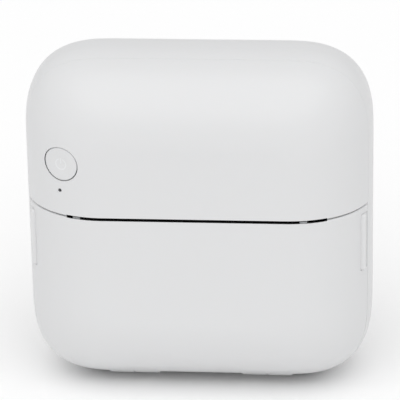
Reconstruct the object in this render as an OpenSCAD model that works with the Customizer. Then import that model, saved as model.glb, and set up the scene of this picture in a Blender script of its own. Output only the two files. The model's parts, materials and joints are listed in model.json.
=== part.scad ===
// Pocket thermal label printer: a pebble-shaped case that stands on four rubber
// feet, a front lid that swings down on two hinge pins, and the print mechanism.
// X runs to the right, Y to the back and Z up. The origin is on the ground plane
// under the middle of the case.

/* [Case] */
// Width of the case
case_w = 82; // [80:0.5:86]
// Height of the case without its feet
case_h = 82; // [82:0.5:86]
// Depth of the case, front to back
case_d = 40; // [40:0.5:44]
// Wall thickness
wall = 2; // [1.6:0.1:2.2]
// Corner radius seen from the front, at mid depth
corner_r = 21; // [18:0.5:23]
// Squareness of the corners, 2 being a circle
corner_power = 2.8; // [2:0.1:3]
// How far the edge rounding reaches in across the front
edge_across = 19.6; // [16:0.2:20]
// How far the edge rounding reaches back along the sides
edge_back = 18.8; // [15:0.2:19]
// Thickness of the rubber feet below the case
foot_h = 0.6; // [0.4:0.1:1.5]

/* [Lid] */
// Height of the paper slot above the bottom of the case
slot_up = 45.75; // [45.7:0.05:46.2]
// Gap between the lid and the shells around it
lid_gap = 0.3; // [0.2:0.05:0.4]
// Left end of the paper slot
slot_left = -29.9; // [-30:0.1:-29]
// Right end of the paper slot
slot_right = 30.9; // [30:0.1:31]
// Height of the open part of the paper slot
slot_open = 0.8; // [0.5:0.05:0.8]
// Plane where the front pieces meet the rear shell
split_y = -7; // [-7.2:0.1:-6.8]

/* [Paper] */
// Width of the paper roll
roll_w = 57; // [56:0.5:57]
// Radius of a full paper roll
roll_r = 15; // [12:0.5:15]
// Outer radius of the cardboard core
core_r = 6.5; // [6.2:0.1:7]

/* [Print mechanism] */
// Radius of the platen roller
platen_r = 4; // [3.8:0.1:4]
// Radius of the platen shaft
shaft_r = 1.5; // [1.2:0.1:1.5]
// Gear module
gear_module = 0.4; // [0.4]
// Teeth on the platen gear
platen_teeth = 18; // [18]
// Teeth on the idler gear
idler_teeth = 25; // [25]
// Teeth on the small wheel of the reduction gear
small_teeth = 12; // [12]
// Teeth on the large wheel of the reduction gear
large_teeth = 36; // [36]
// Teeth on the motor pinion
pinion_teeth = 10; // [10]
// Radius of the stepper motor
motor_r = 7; // [6:0.5:7]

/* [Controls] */
// Radius of the power button
button_r = 4; // [3.8:0.1:4.1]
// Travel of the power button
button_travel = 0.3; // [0.2:0.05:0.4]
// Height of the side release buttons
release_h = 14.2; // [12:0.2:14.6]

/* [Hidden] */
$fn = 48;
eps = 0.01;
far = 100;

// Case planes and centre
mid_z = foot_h + case_h / 2;
slot_z = foot_h + slot_up;
// Lid edge along the paper slot: its thickness, and that of its sharp upper edge
lip_t = 0.8;
lip_edge_t = 0.25;
half_w = case_w / 2;
// Loss of corner radius for each unit that a slice shrinks
corner_shrink = 0.8;

// Mechanism is centred a little left of the case, because the gears are on the right
mech_x = -1;
roll_y = 0.5;
roll_z = foot_h + 21.5;
bin_gap = 0.6;
bin_wall = 1.3;
bin_side_gap = 0.5;

// Hinge
hinge_y = split_y;
hinge_z = foot_h + 1.9;
hinge_pin_r = 0.6;
knuckle_r = 1.3;
run_gap = 0.05;
lid_knuckle = [10, 16];
base_knuckle = [16.3, 22];
hinge_relief_x = 30;

// Platen and head
platen_y = -10.4;
platen_z = foot_h + 41.2;
arm_w = 1.7;
left_arm_x = -28.4;
right_arm_x = 24.6;
rubber_left = left_arm_x + arm_w + 0.3;
rubber_right = right_arm_x - 0.3;
bush_r = 2.2;
head_z = platen_z + platen_r + 0.15;
head_left = -25.6;
head_right = 23.6;
head_front = -15.6;
head_back = -7.6;
head_t = 1;
sink_t = 2;
pivot_y = -5;
pivot_z = foot_h + 48;
pivot_r = 0.8;
lug_at = [-20, 16];
lug_w = 3;
spring_bar_z = foot_h + 52;
head_spring_at = [-14, 12];

// Chassis plates, gear layers and gear places
plate_t = 1;
right_plate_x = 28.2;
left_plate_x = -31.2;
layer_1 = 29.7;
layer_2 = 32.1;
layer_t = 1.9;
cover_x = 34.8;
gear_pin_r = 0.8;
idler_dir = 19.4;
reduction_dir = 58.7;
motor_dir = 72.2;
function pitch_r(teeth) = gear_module * teeth / 2;
function step_from(p, dir, d) = [p[0] + d * cos(dir), p[1] + d * sin(dir)];
// Turn of a gear that meshes with a gear of turn "turn" lying in direction "dir" from it
function mesh_turn(turn, teeth, teeth_next, dir) =
    dir + 180 - 180 / teeth_next + (dir - turn) * teeth / teeth_next;
platen_at = [platen_y, platen_z];
idler_at = step_from(platen_at, idler_dir, pitch_r(platen_teeth) + pitch_r(idler_teeth));
reduction_at = step_from(idler_at, reduction_dir, pitch_r(idler_teeth) + pitch_r(small_teeth));
motor_at = step_from(reduction_at, motor_dir, pitch_r(large_teeth) + pitch_r(pinion_teeth));
platen_turn = idler_dir;
idler_turn = mesh_turn(platen_turn, platen_teeth, idler_teeth, idler_dir);
small_turn = mesh_turn(idler_turn, idler_teeth, small_teeth, reduction_dir);
large_turn = small_turn;
pinion_turn = mesh_turn(large_turn, large_teeth, pinion_teeth, motor_dir);

// Posts that carry the gear cover, just outside the large wheel
cover_post_at = [[8.5, reduction_at[1] - 7.2], [-5, reduction_at[1] + 7.5]];

// Motor
motor_len = 14;
motor_shaft_r = 1;
ear_step = 5.4;

// Power button, on the left shoulder of the front shell
button_x = -30.9;
button_z = foot_h + 58.5;
button_inset = half_w - abs(button_x);
button_phi = acos(1 - button_inset / edge_across);
button_y = -(case_d / 2 - edge_back + edge_back * sin(button_phi));
button_tilt = atan2(edge_back * cos(button_phi), edge_across * sin(button_phi));
// Radius of curvature of the shoulder there
shoulder_r = pow(pow(edge_across * sin(button_phi), 2) + pow(edge_back * cos(button_phi), 2), 1.5)
    / (edge_across * edge_back);
button_gap = 0.2;
button_sink = 0.12;
button_base = -4.3;
button_ear = [1.5, 5, 0.7];
dish_r = 16;
dish_depth = 0.22;
led_at = [-0.4, -6.5];
led_hole_r = 0.42;
switch_board_back = 7;
switch_post_at = [[-3.9, 3.4], [3.9, -6.6]];
switch_post_r = 1.5;
switch_screw_r = 0.6;

// Main board
board_y = 1;
board_t = 1.2;
board_left = -35;
board_right = 7;
board_low = foot_h + 51.5;
board_high = foot_h + 75;
board_screw_at = [[-30, foot_h + 68.5], [4.5, foot_h + 59.5]];
usb_z = foot_h + 61;
usb_y = board_y + board_t + 1.65;
// Half the distance between the round ends, and their radius, of the mouth and of the socket
usb_mouth = [3.1, 1.85];
usb_shell = [2.9, 1.6];
usb_bore_r = 1.3;
usb_front_x = -38.4;
usb_len = 7.4;

// Screws that hold the case and the chassis
case_screw_at = [[12, foot_h + 72], [-34.4, foot_h + 49]];
chassis_screw_at = [[-24, foot_h + 48], [24, foot_h + 48]];
lid_screw_at = [[-18, foot_h + 33.5], [16, foot_h + 33.5]];
screw_r = 0.9;
case_screw_len = 12;
case_screw_r = 1;
head_well_r = 2.2;
rear_boss_r = 2.9;
front_boss_r = 2.6;
chassis_boss_r = 2.2;
board_boss_r = 2;
lid_boss_r = 2.2;
tap_end_y = 9;

// Feet
foot_r = 2.4;
foot_sink = 1.2;
foot_at = [for (x = [-24, 24]) for (y = [-0.8, 5.6]) [x, y]];

// Release buttons
release_front = -10.3;
release_back = -7.6;
release_low = foot_h + 29.8;
release_gap = 0.3;
release_face = 39.7;
release_spring_z = foot_h + 35;
release_spring_y = -9.6;
release_spring_r = 1.1;
release_wire_r = 0.2;
catch_x = 36.6;
nose_x = catch_x - 0.3;
arm_x = 35.9;
release_inner = 35.4;
release_post = 31.2;

// ---------- shared shapes ----------

// One quarter of a rounded corner, from the side round to the top
function corner_arc(r, steps) = [for (i = [0:steps]) let (t = 90 * i / steps)
    [r * pow(cos(t), 2 / corner_power), r * pow(sin(t), 2 / corner_power)]];
function turned(points, sx, sy) = [for (p = points) [sx * p[0], sy * p[1]]];
function back_to_front(points) = [for (i = [len(points) - 1:-1:0]) points[i]];

// Front outline of the case at one depth
module case_slice(hw, hh, r, steps) {
    arc = [for (p = corner_arc(r, steps)) [hw - r + p[0], hh - r + p[1]]];
    polygon(concat(arc, back_to_front(turned(arc, -1, 1)), turned(arc, -1, -1),
        back_to_front(turned(arc, 1, -1))));
}

// The whole pebble, shrunk evenly by "inset"
module case_solid(inset = 0, steps = 7) {
    across = edge_across - inset;
    back = edge_back - inset;
    hull() for (side = [-1, 1]) for (i = [0:steps]) {
        phi = 90 * i / steps;
        d = inset + across * (1 - cos(phi));
        y = case_d / 2 - inset - back + back * sin(phi);
        translate([0, side * y, mid_z]) rotate([90, 0, 0])
            linear_extrude(eps, center = true)
                case_slice(half_w - d, case_h / 2 - d, corner_r - inset - corner_shrink * (d - inset), steps);
    }
}

// Everything in front of (side -1) or behind (side 1) a plane across the depth
module half_depth(y, side) {
    translate([-far / 2, side > 0 ? y : y - far, -far / 4]) cube([far, far, 1.5 * far]);
}

// Children drawn flat, (u, v) becoming (y, z), and grown towards +X
module on_x(x, y, z) {
    translate([x, y, z]) rotate([90, 0, 90]) children();
}

// A round bar along X
module bar_x(x0, x1, y, z, r) {
    on_x(x0, y, z) cylinder(r = r, h = x1 - x0);
}

// A round bar along Y
module bar_y(x, y0, y1, z, r) {
    translate([x, y1, z]) rotate([90, 0, 0]) cylinder(r = r, h = y1 - y0);
}

module box(low, high) {
    translate(low) cube([high[0] - low[0], high[1] - low[1], high[2] - low[2]]);
}

// A pan-head screw with a cross recess; its head stands on z = 0 and its shank goes down
module screw(head_r, head_h, r, len) {
    difference() {
        cylinder(r = head_r, h = head_h);
        for (a = [0, 90]) rotate([0, 0, a])
            translate([-head_r * 0.55, -head_r * 0.1, head_h * 0.45]) cube([head_r * 1.1, head_r * 0.2, head_h]);
    }
    translate([0, 0, -len]) cylinder(r = r, h = len + eps);
}

// Screws that go in along +Y or -Y (dir 1 or -1), with the head's underside at y
module screw_y(x, y, z, dir, head_r, head_h, r, len) {
    translate([x, y, z]) rotate([90 * dir, 0, 0]) screw(head_r, head_h, r, len);
}

// Teeth with straight flanks, thinned for backlash
module gear_shape(teeth, turn) {
    p = pitch_r(teeth);
    tip = p + 0.85 * gear_module;
    root = p - 1.15 * gear_module;
    pitch_angle = 360 / teeth;
    at_root = 0.31 * pitch_angle;
    at_tip = 0.11 * pitch_angle;
    rotate([0, 0, turn]) polygon([for (i = [0:teeth - 1]) each
        [for (c = [[root, -at_root], [tip, -at_tip], [tip, at_tip], [root, at_root]])
            let (a = i * pitch_angle + c[1]) [c[0] * cos(a), c[0] * sin(a)]]]);
}

module gear(x, at, teeth, turn, bore) {
    on_x(x, at[0], at[1]) linear_extrude(layer_t) difference() {
        gear_shape(teeth, turn);
        circle(bore);
    }
}

// A coil spring along +Z
module coil(r, wire, len, turns) {
    sides = 6;
    per_turn = 14;
    n = turns * per_turn;
    points = [for (i = [0:n]) for (k = [0:sides - 1])
        let (a = 360 * i / per_turn, b = 360 * k / sides, rr = r + wire * cos(b))
            [rr * cos(a), rr * sin(a), wire + (len - 2 * wire) * i / n + wire * sin(b)]];
    skin = [for (i = [0:n - 1]) for (k = [0:sides - 1]) let (m = (k + 1) % sides)
        each [[i * sides + k, (i + 1) * sides + k, (i + 1) * sides + m],
              [i * sides + k, (i + 1) * sides + m, i * sides + m]]];
    cap_low = [[for (k = [0:sides - 1]) k]];
    cap_high = [[for (k = [sides - 1:-1:0]) n * sides + k]];
    polyhedron(points, concat(skin, cap_low, cap_high));
}

// ---------- case ----------

module shell(inset_wall) {
    difference() {
        case_solid();
        case_solid(inset_wall);
    }
}

// Bosses stay inside the outer skin of the case
module clipped() {
    intersection() {
        children();
        case_solid(wall / 2);
    }
}

module rear_shell() color("whitesmoke") difference() {
    union() {
        intersection() {
            shell(wall);
            half_depth(split_y, 1);
        }
        clipped() union() {
            for (p = case_screw_at) bar_y(p[0], split_y, case_d / 2, p[1], rear_boss_r);
            for (p = chassis_screw_at) bar_y(p[0], 0.2, case_d / 2, p[1], chassis_boss_r);
            for (p = board_screw_at) bar_y(p[0], board_y + board_t, case_d / 2, p[1], board_boss_r);
        }
        knuckle_pair(base_knuckle, knuckle_r, 0);
        latch_catches();
    }
    for (p = case_screw_at) {
        bar_y(p[0], split_y - 1, case_d, p[1], case_screw_r + 0.15);
        bar_y(p[0], 0, case_d, p[1], head_well_r);
    }
    for (p = chassis_screw_at) bar_y(p[0], 0, tap_end_y, p[1], screw_r);
    for (p = board_screw_at) bar_y(p[0], 0, tap_end_y, p[1], screw_r);
    for (p = foot_at) translate([p[0], p[1], 0]) cylinder(r = foot_r, h = foot_h + foot_sink);
    // Room for the lid's knuckles and for its lower edge as it swings
    knuckle_pair(lid_knuckle, knuckle_r + lid_gap, lid_gap);
    difference() {
        union() {
            intersection() {
                bar_x(-hinge_relief_x, hinge_relief_x, hinge_y, hinge_z, knuckle_r + 0.05);
                box([-far, -far, 0], [far, far, hinge_z]);
            }
            intersection() {
                bar_x(-hinge_relief_x, hinge_relief_x, hinge_y, hinge_z, knuckle_r + 0.7);
                box([-far, -far, 0], [far, far, hinge_z - 0.3]);
            }
        }
        knuckle_pair(base_knuckle, knuckle_r, 0);
    }
    bar_x(-base_knuckle[1] - eps, base_knuckle[1] + eps, hinge_y, hinge_z, hinge_pin_r);
    usb_hole();
}

// A bar on the hinge axis over span "ends" on each side of the middle, longer by "extra" at each end
module knuckle_pair(ends, r, extra) {
    bar_x(ends[0] - extra, ends[1] + extra, hinge_y, hinge_z, r);
    bar_x(-ends[1] - extra, -ends[0] + extra, hinge_y, hinge_z, r);
}

// The USB socket's mouth in the left wall
module usb_hole() {
    translate([-half_w - 1, usb_y, usb_z]) rotate([90, 0, 90]) for (s = [-1, 1]) {
        translate([0, s * usb_mouth[0], 0]) cylinder(r = usb_mouth[1], h = 4);
    }
    box([-half_w - 1, usb_y - usb_mouth[1], usb_z - usb_mouth[0]],
        [-half_w + 3, usb_y + usb_mouth[1], usb_z + usb_mouth[0]]);
}

// Ribs inside the rear shell that the noses of the release hooks pass
module latch_catches() {
    for (s = [-1, 1]) intersection() {
        case_solid(wall / 2);
        box([s > 0 ? catch_x : -far, split_y, release_low + 1],
            [s > 0 ? far : -catch_x, split_y + 1.4, release_low + 9]);
    }
}

module front_shell() color("white") difference() {
    union() {
        intersection() {
            shell(wall);
            half_depth(split_y - 0.1, -1);
            box([-far, -far, slot_z + lid_gap / 2], [far, far, far]);
        }
        clipped() union() {
            for (p = case_screw_at) bar_y(p[0], -case_d / 2, split_y - 0.1, p[1], front_boss_r);
            // Rib that carries the tear bar
            box([-28, -case_d / 2, slot_z + 1.1], [26, -16.8, slot_z + 3]);
            // Posts for the switch board, and the guide ring of the button
            on_button() for (p = switch_post_at) translate([p[0], p[1], -switch_board_back])
                cylinder(r = switch_post_r, h = switch_board_back);
            on_button() translate([led_at[0], led_at[1], -4.2]) cylinder(r = 1.2, h = 4.2);
        }
    }
    on_button() translate([0, 0, -7]) cylinder(r = button_r + button_gap, h = 12);
    on_button() translate([led_at[0], led_at[1], -8]) cylinder(r = led_hole_r, h = 12);
    on_button() for (p = switch_post_at) translate([p[0], p[1], -switch_board_back - 1])
        cylinder(r = switch_screw_r, h = 3.5);
    for (p = case_screw_at) bar_y(p[0], -case_screw_len - 0.3, 0, p[1], case_screw_r);
    box([slot_left, -far, slot_z - 1], [slot_right, -15, slot_z + slot_open / 2]);
}

// Children drawn with +Z pointing forwards out of the case along the power button's axis
module on_button() {
    translate([button_x, button_y, button_z]) rotate([90, 0, 0]) children();
}

module paper_lid() color("white") difference() {
    union() {
        intersection() {
            shell(wall);
            half_depth(split_y - lid_gap, -1);
            box([-far, -far, -1], [far, far, slot_z - lid_gap / 2]);
        }
        clipped() union() {
            for (p = lid_screw_at) bar_y(p[0], -case_d / 2, -15.7, p[1], lid_boss_r);
        }
        knuckle_pair(lid_knuckle, knuckle_r, 0);
    }
    // Thin lip along the paper slot, thinner still at its upper edge
    intersection() {
        case_solid(lip_t);
        box([slot_left, -far, slot_z - 1.8], [slot_right, -15, far]);
    }
    intersection() {
        case_solid(lip_edge_t);
        box([slot_left, -far, slot_z - 0.9], [slot_right, -15, far]);
    }
    box([slot_left, -far, slot_z - slot_open / 2], [slot_right, -15, far]);
    for (s = [-1, 1]) box([s > 0 ? 30 : -far, release_front - release_gap, release_low - release_gap],
        [s > 0 ? far : -30, split_y, release_low + release_h + release_gap]);
    // Clears the rear shell's knuckles
    knuckle_pair(base_knuckle, knuckle_r + lid_gap, lid_gap);
    for (p = lid_screw_at) bar_y(p[0], -17.6, -14, p[1], screw_r);
    bar_x(-20, 20, hinge_y, hinge_z, hinge_pin_r + run_gap);
}

// Grey frame screwed inside the lid: it carries the platen and guides the paper
module lid_inner_frame() color("gray") difference() {
    union() {
        box([left_arm_x, -15.7, foot_h + 31], [right_arm_x + arm_w, -13, foot_h + 36]);
        for (x = [left_arm_x, right_arm_x]) {
            box([x, -15.7, foot_h + 33], [x + arm_w, -7.6, head_z - 0.5]);
            // Rib that holds the paper clear of the lid's edge
            intersection() {
                box([x, -18.5, slot_z - 1.6], [x + arm_w, -14, slot_z - 0.5]);
                case_solid(lip_t + 0.3);
            }
            intersection() {
                box([x, -far, slot_z - 0.8], [x + arm_w, -14, slot_z - 0.05]);
                case_solid(lip_edge_t + 0.15);
            }
        }
        // Posts that the release springs push against
        box([-release_post, -12, foot_h + 33], [left_arm_x + eps, -8.2, foot_h + 37]);
        box([right_arm_x + arm_w - eps, -12, foot_h + 33], [release_post, -8.2, foot_h + 37]);
    }
    bar_x(-far, far, roll_y, roll_z, roll_r + bin_gap);
    for (p = lid_screw_at) bar_y(p[0], -20, 0, p[1], screw_r);
    bar_x(-40, 40, platen_y, platen_z, bush_r);
}

module lid_frame_screws() color("silver")
    for (p = lid_screw_at) screw_y(p[0], -13, p[1], -1, 1.7, 1, screw_r, 4.4);

module hinge_pins() color("silver") knuckle_pair([lid_knuckle[0] - 0.5, base_knuckle[1]], hinge_pin_r, 0);

module rubber_feet() color("dimgray")
    for (p = foot_at) translate([p[0], p[1], 0]) cylinder(r = foot_r, h = foot_h + foot_sink);

module case_screws() color("silver")
    for (p = case_screw_at) screw_y(p[0], 0, p[1], -1, 2, 1.4, case_screw_r, case_screw_len);

// ---------- release buttons ----------

// Right-hand release button: the bar that is pressed, its plate and its hook
module release_button() {
    box([release_inner, release_front, release_low], [release_face, release_back, release_low + release_h]);
    intersection() {
        box([release_inner, release_front - 1.3, release_low - 1.2],
            [release_inner + 4, release_back, release_low + release_h - 3]);
        case_solid(wall + 0.25);
    }
    // Hook whose nose stands just inboard of the catch on the rear shell
    box([release_inner, release_back - eps, release_low + 2], [arm_x, split_y + 3, release_low + 8]);
    box([release_inner, split_y + 1.7, release_low + 2], [nose_x, split_y + 3, release_low + 8]);
    // Peg that centres the return spring
    bar_x(release_inner - 1.2, release_inner + eps, release_spring_y, release_spring_z, release_spring_r - 0.4);
}

module release_button_right() color("white") release_button();
module release_button_left() color("white") mirror([1, 0, 0]) release_button();

module release_spring() {
    translate([release_post, release_spring_y, release_spring_z]) rotate([0, 90, 0])
        coil(release_spring_r, release_wire_r, release_inner - release_post, 4);
}

module release_spring_right() color("silver") release_spring();
module release_spring_left() color("silver") mirror([1, 0, 0]) release_spring();

// ---------- power button and its switch ----------

// A point on the normal of the shoulder through the button's middle
function on_normal(d) = [-d * sin(button_tilt), 0, d * cos(button_tilt)];

// The key's face follows the shoulder and is dished; two ears hold it behind the wall
module power_button() color("white") on_button() {
    difference() {
        intersection() {
            translate([0, 0, button_base]) cylinder(r = button_r, h = 8);
            translate(on_normal(-shoulder_r)) rotate([90, 0, 0])
                cylinder(r = shoulder_r - button_sink, h = 20, center = true, $fn = 180);
        }
        translate(on_normal(dish_r - button_sink - dish_depth)) sphere(r = dish_r, $fn = 96);
    }
    box([-button_ear[0], -button_ear[1], button_base], [button_ear[0], button_ear[1], button_base + button_ear[2]]);
    translate([0, 0, -4.6]) cylinder(r = 1.2, h = 0.4);
}

module power_switch_plunger() color("dimgray") on_button()
    translate([0, 0, -6]) cylinder(r = 0.9, h = 1.38);

module power_switch() color("silver") on_button() difference() {
    box([-2.6, -2.6, -switch_board_back], [2.6, 2.6, -5.2]);
    translate([0, 0, -6.4]) cylinder(r = 0.95, h = 2);
}

module switch_board() color("seagreen") on_button() difference() {
    union() {
        box([-4.7, -5.6, -switch_board_back - 1], [5.4, 4.9, -switch_board_back]);
        box([-1.3, -8, -switch_board_back - 1], [5.4, -5.5, -switch_board_back]);
    }
    for (p = switch_post_at) translate([p[0], p[1], -9]) cylinder(r = 0.7, h = 4);
}

module switch_board_screws() color("silver") on_button()
    for (p = switch_post_at) translate([p[0], p[1], -switch_board_back - 1]) rotate([180, 0, 0])
        screw(1.2, 0.8, switch_screw_r, 2.2);

module status_led() color("gold") on_button()
    box([led_at[0] - 0.8, led_at[1] - 0.5, -switch_board_back], [led_at[0] + 0.8, led_at[1] + 0.5, -6.3]);

module status_light_pipe() color("lightgray") on_button()
    translate([led_at[0], led_at[1], -6.1]) cylinder(r = led_hole_r - 0.02, h = 5.8);

// ---------- print chassis, motor and gears ----------

module print_chassis() color("darkgray") difference() {
    union() {
        // Right plate, carrying the gears and the motor
        on_x(right_plate_x, 0, 0) linear_extrude(plate_t) polygon([
            [-7.4, platen_z - 2], [-7.4, motor_at[1] + 1], [-4, motor_at[1] + 6], [0, motor_at[1] + 9],
            [9, motor_at[1] + 9], [14, motor_at[1] + 4], [14, motor_at[1] - 5], [10.5, platen_z + 1],
            [8, platen_z - 1], [-2, platen_z - 2]]);
        on_x(left_plate_x, 0, 0) linear_extrude(plate_t) polygon([
            [-7.4, platen_z + 2], [-7.4, pivot_z + 2], [0.2, pivot_z + 2], [0.2, platen_z + 2]]);
        // Rear beam and the bar that the head springs push against
        box([left_plate_x, -1, pivot_z - 2], [right_plate_x + plate_t, 0.2, pivot_z + 2]);
        box([-20, -1, pivot_z], [right_plate_x + plate_t, 0.2, spring_bar_z + 1]);
        box([-18, -12.5, spring_bar_z], [right_plate_x + plate_t, 0.2, spring_bar_z + 1]);
        for (x = head_spring_at) translate([x, -11, spring_bar_z - 0.9]) cylinder(r = 1, h = 1);
    }
    for (p = chassis_screw_at) bar_y(p[0], -2, 1, p[1], screw_r);
    bar_x(left_plate_x - 1, right_plate_x + 2, pivot_y, pivot_z, pivot_r);
    for (p = [idler_at, reduction_at]) bar_x(right_plate_x - 1, right_plate_x + 2, p[0], p[1], gear_pin_r);
    bar_x(right_plate_x - 1, right_plate_x + 2, motor_at[0], motor_at[1], 2);
    for (s = [-1, 1]) bar_x(right_plate_x - 1, right_plate_x + 2,
        motor_at[0] + s * ear_step, motor_at[1] - s * ear_step, 0.7);
    for (p = cover_post_at) bar_x(right_plate_x - 1, right_plate_x + 2, p[0], p[1], 0.7);
}

module chassis_screws() color("silver")
    for (p = chassis_screw_at) screw_y(p[0], -1, p[1], 1, 1.8, 1.1, screw_r, 9);

module gear_cover() color("dimgray") difference() {
    union() {
        on_x(cover_x, 0, 0) linear_extrude(plate_t) polygon([
            [-6.6, idler_at[1] - 2], [-6.8, cover_post_at[1][1] + 1.6], [-3, cover_post_at[1][1] + 1.8],
            [9.4, reduction_at[1] - 2], [10.1, cover_post_at[0][1]], [9, cover_post_at[0][1] - 1.7],
            [idler_at[0], idler_at[1] - 2.5]]);
        for (p = cover_post_at) bar_x(right_plate_x + plate_t, cover_x + eps, p[0], p[1], 1.5);
    }
    for (p = cover_post_at) bar_x(right_plate_x - 1, cover_x + 2, p[0], p[1], 0.7);
    bar_x(cover_x - 1, cover_x + 2, reduction_at[0], reduction_at[1], gear_pin_r);
}

module gear_cover_screws() color("silver")
    for (p = cover_post_at) on_x(cover_x + plate_t, p[0], p[1]) screw(1.2, 0.5, 0.7, 7.4);

// The idler's pin stops short of the large wheel, which passes over it
module gear_pins() color("silver") {
    bar_x(right_plate_x, layer_2 - 0.25, idler_at[0], idler_at[1], gear_pin_r);
    bar_x(right_plate_x, cover_x + plate_t, reduction_at[0], reduction_at[1], gear_pin_r);
}

module platen_gear() color("ivory") gear(layer_1, platen_at, platen_teeth, platen_turn, shaft_r);

module idler_gear() color("ivory")
    gear(layer_1, idler_at, idler_teeth, idler_turn, gear_pin_r + run_gap);

module reduction_gear() color("ivory") {
    gear(layer_1, reduction_at, small_teeth, small_turn, gear_pin_r + run_gap);
    on_x(layer_1 + layer_t - eps, reduction_at[0], reduction_at[1]) difference() {
        cylinder(r = 1.8, h = layer_2 - layer_1 - layer_t + 2 * eps);
        translate([0, 0, -1]) cylinder(r = gear_pin_r + run_gap, h = 3);
    }
    gear(layer_2, reduction_at, large_teeth, large_turn, gear_pin_r + run_gap);
}

module motor_pinion() color("gold") gear(layer_2, motor_at, pinion_teeth, pinion_turn, motor_shaft_r);

module motor_shaft() color("silver")
    bar_x(right_plate_x - 4, layer_2 + layer_t + 0.4, motor_at[0], motor_at[1], motor_shaft_r);

module drive_motor() color("silver") difference() {
    union() {
        bar_x(right_plate_x - motor_len, right_plate_x, motor_at[0], motor_at[1], motor_r);
        bar_x(right_plate_x - motor_len - 1.2, right_plate_x - motor_len + eps, motor_at[0], motor_at[1], 3);
        // Flange with its two ears
        on_x(right_plate_x - 0.8, motor_at[0], motor_at[1]) rotate([0, 0, -45]) linear_extrude(0.8) union() {
            square([15.2, 5], center = true);
            for (s = [-1, 1]) translate([s * 7.6, 0]) circle(2.5);
        }
    }
    bar_x(right_plate_x - 5, right_plate_x + 1, motor_at[0], motor_at[1], motor_shaft_r + run_gap);
    for (s = [-1, 1]) bar_x(right_plate_x - 4, right_plate_x + 1,
        motor_at[0] + s * ear_step, motor_at[1] - s * ear_step, 0.7);
}

module motor_screws() color("silver")
    for (s = [-1, 1]) on_x(right_plate_x + plate_t, motor_at[0] + s * ear_step, motor_at[1] - s * ear_step)
        screw(1.3, 0.6, 0.7, 3);

// ---------- platen ----------

module platen_rubber() color("dimgray") difference() {
    bar_x(rubber_left, rubber_right, platen_y, platen_z, platen_r);
    bar_x(rubber_left - 1, rubber_right + 1, platen_y, platen_z, shaft_r);
}

module platen_shaft() color("silver")
    bar_x(left_arm_x - 0.8, layer_1 + layer_t + 0.5, platen_y, platen_z, shaft_r);

module platen_bushes() color("ivory") for (x = [left_arm_x, right_arm_x]) difference() {
    bar_x(x, x + arm_w, platen_y, platen_z, bush_r);
    bar_x(x - 1, x + arm_w + 1, platen_y, platen_z, shaft_r + run_gap);
}

// ---------- thermal head ----------

module thermal_head() color("beige") {
    box([head_left, head_front, head_z], [head_right, head_back, head_z + head_t]);
}

module head_heatsink() color("silver") difference() {
    union() {
        box([head_left, head_front, head_z + head_t], [head_right, head_back + 1.6, head_z + head_t + sink_t]);
        // Lugs that turn on the pivot pin
        for (x = lug_at) {
            box([x, head_back, head_z + head_t], [x + lug_w, pivot_y, pivot_z + 1.2]);
            bar_x(x, x + lug_w, pivot_y, pivot_z, 1.7);
        }
        // Cooling ribs
        for (i = [0:4]) box([-10 + 0.5, head_front + 0.4 + 1.5 * i, head_z + head_t + sink_t - eps],
            [8 - 0.5, head_front + 1.1 + 1.5 * i, head_z + head_t + sink_t + 1.4]);
        for (x = head_spring_at) translate([x, -11, head_z + head_t + sink_t - eps]) cylinder(r = 1, h = 0.8);
    }
    bar_x(-40, 40, pivot_y, pivot_z, pivot_r + run_gap);
}

module head_pivot_pin() color("silver")
    bar_x(left_plate_x, right_plate_x + plate_t - eps, pivot_y, pivot_z, pivot_r);

module head_spring(x) {
    low = head_z + head_t + sink_t;
    translate([x, -11, low]) coil(1.6, 0.22, spring_bar_z - low, 4);
}

module head_spring_left() color("silver") head_spring(head_spring_at[0]);
module head_spring_right() color("silver") head_spring(head_spring_at[1]);

module head_flex_cable() color("orange") on_x(-16, 0, 0) linear_extrude(18) polygon([
    [head_back + 0.3, head_z + 0.2], [-1.5, slot_z - 1], [0.7, slot_z - 1], [0.7, board_low + 1.95],
    [0.5, board_low + 1.95], [0.5, slot_z - 0.8], [-1.5, slot_z - 0.8], [head_back + 0.3, head_z + 0.4]]);

// Serrated blade behind the front shell's lower lip
module tear_bar() color("silver") translate([0, -16.3, 0]) rotate([90, 0, 0]) linear_extrude(0.45) polygon(concat(
    [[-26.5, slot_z + 2.6], [-26.5, slot_z + 0.7]],
    [for (i = [0:50]) each [[-26 + i, slot_z + 0.25], [-25.5 + i, slot_z + 0.7]]],
    [[25.2, slot_z + 2.6]]));

// ---------- paper ----------

module paper_bin() color("lightgray") intersection() {
    bin_body();
    case_solid(wall + 0.15);
}

module bin_body() difference() {
    left = mech_x - roll_w / 2 - bin_side_gap - 1;
    right = mech_x + roll_w / 2 + bin_side_gap + 1;
    inner = roll_r + bin_gap;
    union() {
        intersection() {
            difference() {
                bar_x(left, right, roll_y, roll_z, inner + bin_wall);
                bar_x(left + 1, right - 1, roll_y, roll_z, inner);
            }
            box([-far, roll_y - 2, 0], [far, far, far]);
        }
        // Foot that stands on the floor of the rear shell
        box([left, roll_y - 2, foot_h + wall + 0.1], [right, roll_y + 4, roll_z - inner - 0.5]);
    }
    bar_x(-40, 40, roll_y, roll_z, inner);
    box([left - 1, -far, roll_z + 9], [right + 1, roll_y + 4, far]);
}

module paper_roll() color("white") difference() {
    bar_x(mech_x - roll_w / 2, mech_x + roll_w / 2, roll_y, roll_z, roll_r);
    bar_x(-40, 40, roll_y, roll_z, core_r);
}

module roll_core() color("tan") difference() {
    bar_x(mech_x - roll_w / 2, mech_x + roll_w / 2, roll_y, roll_z, core_r);
    bar_x(-40, 40, roll_y, roll_z, core_r - 0.8);
}

module paper_sensor() color("black")
    box([-3, -2.6, pivot_z - 1.8], [1, -1, pivot_z + 0.8]);

// ---------- electronics ----------

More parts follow.
